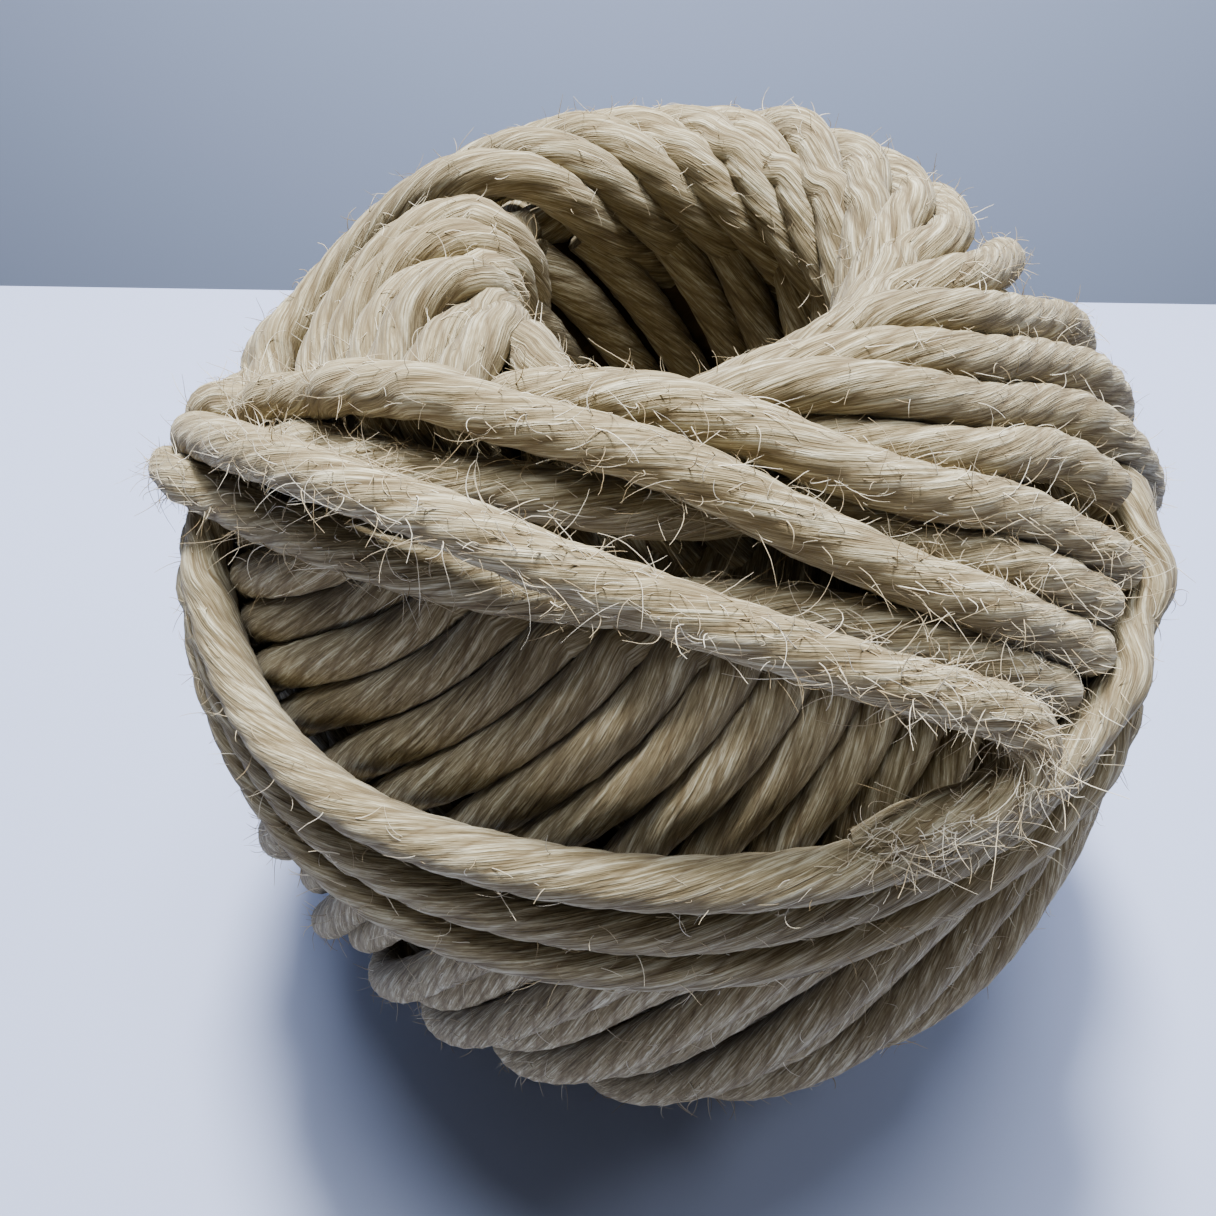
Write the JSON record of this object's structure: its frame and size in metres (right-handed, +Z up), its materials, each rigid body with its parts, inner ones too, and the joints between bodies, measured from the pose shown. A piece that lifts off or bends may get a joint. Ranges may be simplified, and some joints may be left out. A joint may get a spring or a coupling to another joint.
{
  "type": "ball of string",
  "caption": "Ball of soft twisted string wound round an open centre hole, with turns drawn round its waist and the last strand tucked under them.",
  "frame": {"origin": "middle of the flat ring under the ball, on its centre hole's axis", "axes": "+Z up along the centre hole, -Y towards the side that the crossing turns and the tucked end pass over"},
  "size_m": [0.0812, 0.0812, 0.0752],
  "materials": {
    "wound_string": "dull undyed plant fibre, softly twisted",
    "tucked_string": "dull undyed plant fibre, softly twisted, hairy"
  },
  "bodies": {
    "root": {"wound_ball": "wound_string", "tucked_end": "tucked_string"}
  },
  "joints": []
}
